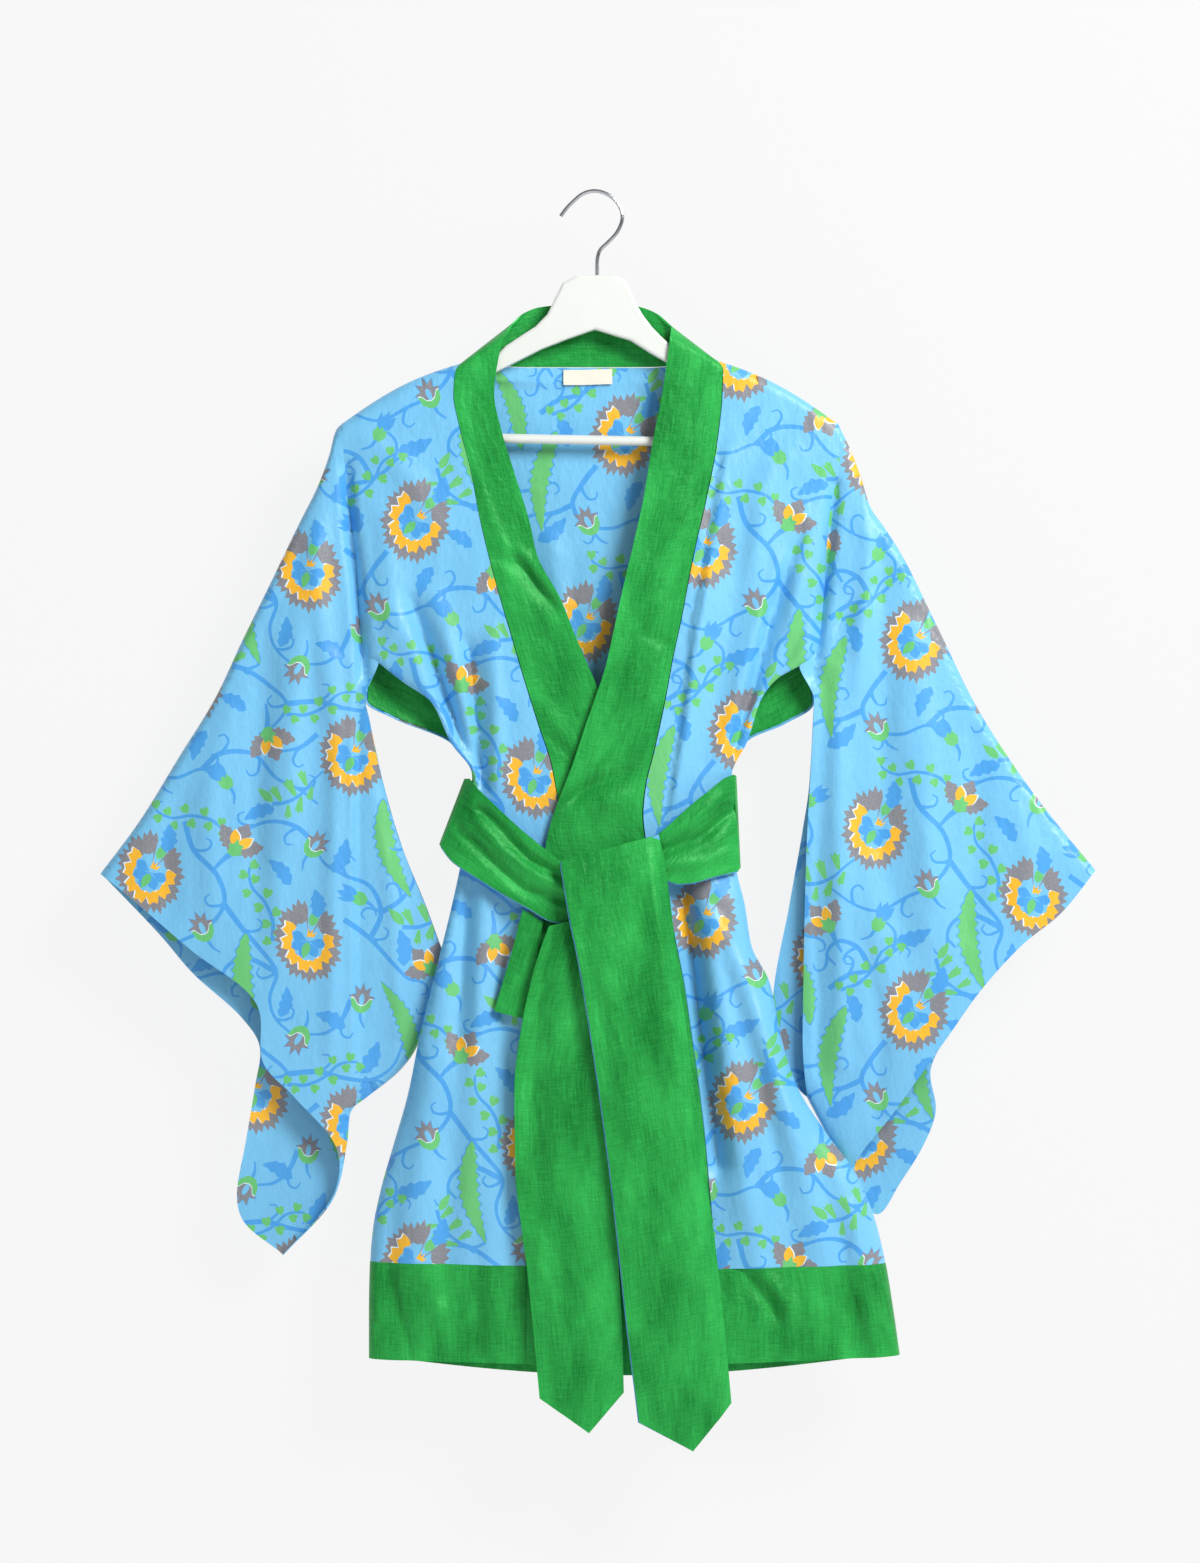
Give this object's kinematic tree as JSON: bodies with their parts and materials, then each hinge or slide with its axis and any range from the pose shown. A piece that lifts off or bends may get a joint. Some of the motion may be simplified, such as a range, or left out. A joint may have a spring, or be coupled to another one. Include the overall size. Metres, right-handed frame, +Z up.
{
  "type": "kimono on a clothes hanger",
  "caption": "Short silk wrap kimono with open sleeves, plain collar band and hem bands and a tied sash, hanging closed on a wooden clothes hanger.",
  "frame": {"origin": "highest point inside the bend of the hanger's hook, where a rail carries it", "axes": "+Z up, the front of the kimono faces -Y, the wearer's left is +X"},
  "size_m": [0.9156, 0.0771, 1.1561],
  "materials": {
    "printSilk": "smooth printed silk, soft sheen",
    "greenSilk": "slubby plain silk, soft sheen",
    "paint": "off-white satin paint on wood",
    "chrome": "polished wire",
    "label": "woven tape, blank"
  },
  "bodies": {
    "root": {"hanger_body": "paint", "hanger_bar": "paint", "hanger_hook": "chrome", "back_panel": "printSilk", "hem_band_back": "greenSilk", "front_panel_right": "printSilk", "hem_band_front_right": "greenSilk", "collar_band_right": "greenSilk", "front_panel_left": "printSilk", "hem_band_front_left": "greenSilk", "collar_band_left": "greenSilk", "sleeve_right": "printSilk", "sleeve_left": "printSilk", "underarm_facing_right": "greenSilk", "underarm_facing_left": "greenSilk", "sash_waist": "greenSilk", "sash_band_right": "greenSilk", "sash_band_left": "greenSilk", "sash_knot": "greenSilk", "sash_tail_front": "greenSilk", "sash_tail_rear": "greenSilk", "sash_fold": "greenSilk", "neck_label": "label"}
  },
  "joints": []
}
